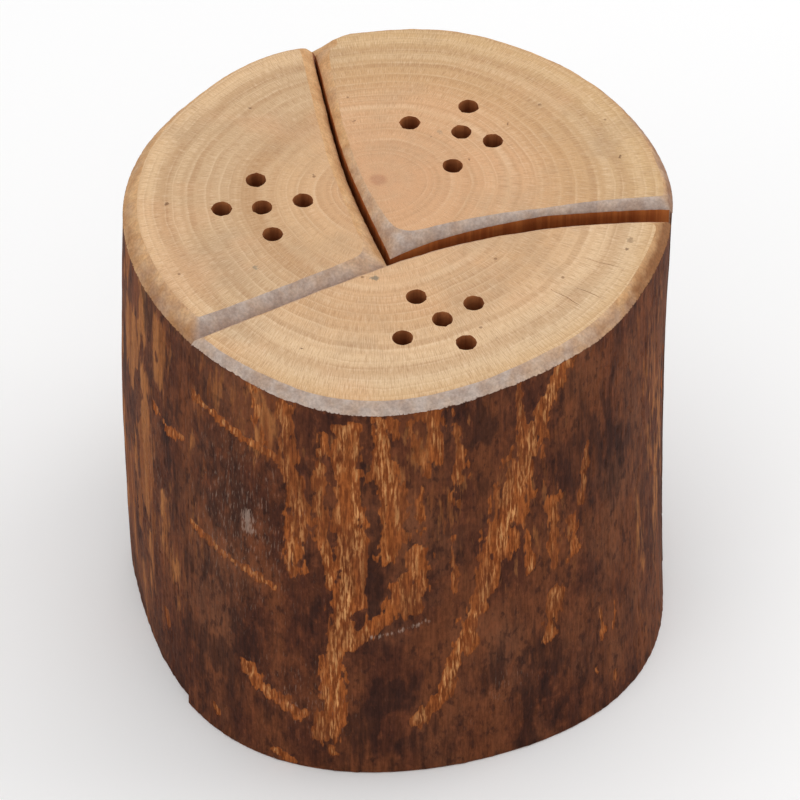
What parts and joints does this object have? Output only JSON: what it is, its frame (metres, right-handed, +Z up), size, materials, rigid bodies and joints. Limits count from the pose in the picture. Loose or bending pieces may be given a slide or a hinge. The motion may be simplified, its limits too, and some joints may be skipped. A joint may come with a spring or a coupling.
{
  "type": "insect hotel",
  "caption": "Short natural log sawn upright into loose curved segments, with blind nest bores for solitary bees drilled in the end grain and bark left on its outside.",
  "frame": {"origin": "on the base plane, at the middle of the box round the whole group of segments", "axes": "+Z up along the log's axis; -Y towards the front segment; +X to the right seen from the front"},
  "size_m": [0.2348, 0.2359, 0.214],
  "materials": {
    "wood": "sanded end grain, unvarnished, dull",
    "bark": "thin dark bark, scraped through in streaks, dull"
  },
  "bodies": {
    "back": {"back_wood": "wood", "back_bark": "bark"},
    "left": {"left_wood": "wood", "left_bark": "bark"},
    "front": {"front_wood": "wood", "front_bark": "bark"}
  },
  "joints": [
    {"name": "left_slide", "type": "slide", "parent": "back", "child": "left", "axis": [-1, 0, 0], "range_m": [0, 0.12]},
    {"name": "front_slide", "type": "slide", "parent": "back", "child": "front", "axis": [0, -1, 0], "range_m": [0, 0.12]}
  ]
}
